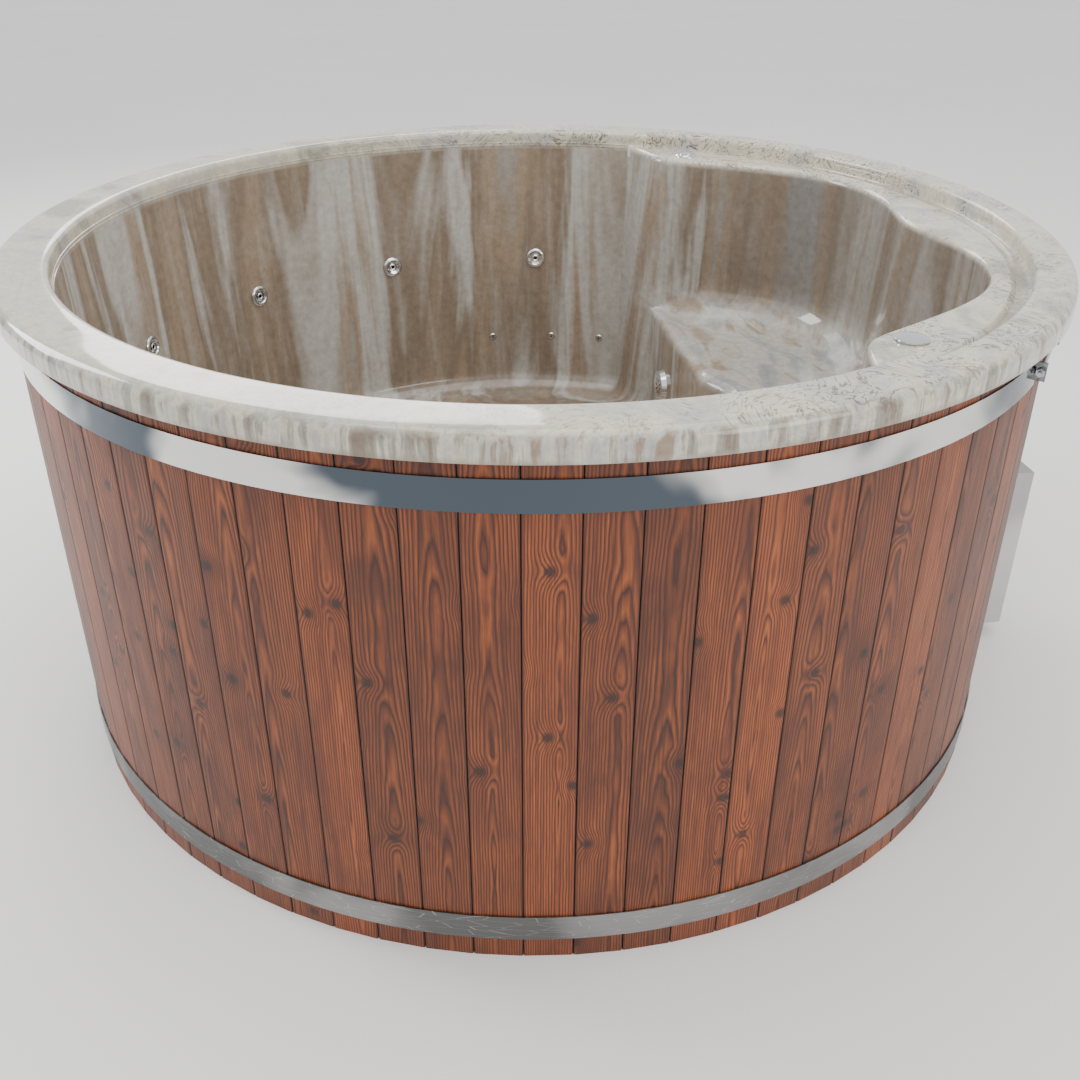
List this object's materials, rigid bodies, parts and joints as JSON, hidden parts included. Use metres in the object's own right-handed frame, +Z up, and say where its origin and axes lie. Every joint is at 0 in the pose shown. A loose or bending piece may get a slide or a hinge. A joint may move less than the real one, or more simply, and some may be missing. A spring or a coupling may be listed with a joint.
{
  "type": "wood-burning hot tub",
  "caption": "Round outdoor bathing tub with a marbled moulded shell, timber cladding, steel bands and a built-in wood stove under a raised lounge seat.",
  "frame": {"origin": "on the tub's vertical axis, in the plane of the underside of the joists that stand on the ground", "axes": "+Z up along the tub's axis, +X towards the stove and the raised lounge seat, +Y towards the drain valve"},
  "size_m": [2.1574, 2.0459, 0.962],
  "materials": {
    "acrylic": "polished acrylic with cream, beige and blue-grey marbling",
    "boards": "red-brown stained spruce with upright grain",
    "frame_wood": "plain sawn softwood",
    "band_polished": "mirror-polished stainless steel",
    "band_dull": "dull scratched stainless steel",
    "zinc": "zinc-plated steel",
    "stainless": "satin stainless steel",
    "heat_steel": "matt black heat-proof paint",
    "jacket_steel": "pickled stainless steel",
    "iron": "rough cast iron",
    "rope": "plaited glass-fibre rope",
    "chrome": "polished chrome",
    "white_plastic": "white moulded plastic",
    "grey_plastic": "grey plastic pipe",
    "black_plastic": "black moulded plastic",
    "brass": "bare brass",
    "grip_wood": "dark turned hardwood"
  },
  "bodies": {
    "tub": {"air_injectors": "chrome", "air_valve": "white_plastic", "baffle": "iron", "band_nuts": "zinc", "base_deck": "frame_wood", "bench_brackets": "frame_wood", "blower": "black_plastic", "button_body": "chrome", "button_spring": "zinc", "circulation_fittings": "white_plastic", "drain_fitting": "brass", "drain_valve": "brass", "firebox": "heat_steel", "fitting_nuts": "white_plastic", "flue_duct": "stainless", "grate": "iron", "hinge_lugs": "stainless", "hinge_pins": "zinc", "hoops": "frame_wood", "housing_bolts": "zinc", "housing_screws": "zinc", "injector_pipe": "grey_plastic", "jet_air_pipe": "grey_plastic", "jet_bodies": "white_plastic", "joists": "frame_wood", "latch_keeper": "stainless", "lower_band": "band_dull", "notched_staves": "boards", "posts": "frame_wood", "pump": "black_plastic", "seat_panels": "frame_wood", "shell": "acrylic", "staves": "boards", "stove_housing": "stainless", "suction_fittings": "chrome", "suction_pipes": "grey_plastic", "tension_rod": "zinc", "upper_band": "band_polished", "water_jacket": "jacket_steel", "water_manifold": "grey_plastic"},
    "door": {"stove_door": "heat_steel", "door_gasket": "rope", "door_screws": "zinc"},
    "latch": {"door_latch": "stainless", "latch_grip": "grip_wood"},
    "damper": {"air_damper": "heat_steel"},
    "drawer": {"ash_drawer": "stainless"},
    "impeller": {"pump_impeller": "black_plastic"},
    "fan": {"blower_fan": "black_plastic"},
    "drain_handle": {"drain_lever": "stainless"},
    "air_control": {"air_knob": "chrome"},
    "button": {"push_button": "chrome"},
    "jet_1": {"jet_nozzle_1": "chrome"},
    "jet_2": {"jet_nozzle_2": "chrome"},
    "jet_3": {"jet_nozzle_3": "chrome"},
    "jet_4": {"jet_nozzle_4": "chrome"},
    "jet_5": {"jet_nozzle_5": "chrome"},
    "jet_6": {"jet_nozzle_6": "chrome"},
    "jet_7": {"jet_nozzle_7": "chrome"},
    "jet_8": {"jet_nozzle_8": "chrome"}
  },
  "joints": [
    {"name": "door_hinge", "type": "hinge", "parent": "tub", "child": "door", "pos_m": [1.077, -0.174, 0.285], "axis": [0, 0, -1], "range_deg": [0, 110]},
    {"name": "latch_pivot", "type": "hinge", "parent": "door", "child": "latch", "pos_m": [1.0876, 0.062, 0.232], "axis": [1, 0, 0], "range_deg": [0, 60]},
    {"name": "damper_pivot", "type": "hinge", "parent": "door", "child": "damper", "pos_m": [1.0871, -0.048, 0.24], "axis": [1, 0, 0], "range_deg": [0, 45]},
    {"name": "drawer_slide", "type": "slide", "parent": "tub", "child": "drawer", "axis": [1, 0, 0], "range_m": [0, 0.3]},
    {"name": "pump_spin", "type": "hinge", "parent": "tub", "child": "impeller", "pos_m": [0.575, 0.47, 0.19], "axis": [1, 0, 0], "continuous": true},
    {"name": "blower_spin", "type": "hinge", "parent": "tub", "child": "fan", "pos_m": [0.6, -0.45, 0.18], "axis": [0, 0, 1], "continuous": true},
    {"name": "drain_turn", "type": "hinge", "parent": "tub", "child": "drain_handle", "pos_m": [0, 1.011, 0.18], "axis": [0, 0, 1], "range_deg": [0, 90]},
    {"name": "air_turn", "type": "hinge", "parent": "tub", "child": "air_control", "pos_m": [0.4902, -0.66978, 0.934], "axis": [0, 0, 1], "range_deg": [0, 180]},
    {"name": "button_press", "type": "slide", "parent": "tub", "child": "button", "axis": [0, 0, -1], "range_m": [0, 0.0035], "stiffness_N_per_m": 1200, "springref_m": -0.001, "deforming": ["button_spring"]},
    {"name": "jet_turn_1", "type": "hinge", "parent": "tub", "child": "jet_1", "pos_m": [0.1369, 0.86436, 0.63], "axis": [-0.1561, -0.9854, 0.0687], "range_deg": [0, 90]},
    {"name": "jet_turn_2", "type": "hinge", "parent": "tub", "child": "jet_2", "pos_m": [-0.25587, 0.8369, 0.63], "axis": [0.2917, -0.954, 0.0687], "range_deg": [0, 90]},
    {"name": "jet_turn_3", "type": "hinge", "parent": "tub", "child": "jet_3", "pos_m": [-0.59684, 0.64003, 0.63], "axis": [0.6804, -0.7296, 0.0687], "range_deg": [0, 90]},
    {"name": "jet_turn_4", "type": "hinge", "parent": "tub", "child": "jet_4", "pos_m": [-0.81701, 0.31362, 0.63], "axis": [0.9314, -0.3575, 0.0687], "range_deg": [0, 90]},
    {"name": "jet_turn_5", "type": "hinge", "parent": "tub", "child": "jet_5", "pos_m": [0.1369, -0.86436, 0.63], "axis": [-0.1561, 0.9854, 0.0687], "range_deg": [0, 90]},
    {"name": "jet_turn_6", "type": "hinge", "parent": "tub", "child": "jet_6", "pos_m": [-0.25587, -0.8369, 0.63], "axis": [0.2917, 0.954, 0.0687], "range_deg": [0, 90]},
    {"name": "jet_turn_7", "type": "hinge", "parent": "tub", "child": "jet_7", "pos_m": [-0.59684, -0.64003, 0.63], "axis": [0.6804, 0.7296, 0.0687], "range_deg": [0, 90]},
    {"name": "jet_turn_8", "type": "hinge", "parent": "tub", "child": "jet_8", "pos_m": [-0.81701, -0.31362, 0.63], "axis": [0.9314, 0.3575, 0.0687], "range_deg": [0, 90]}
  ]
}
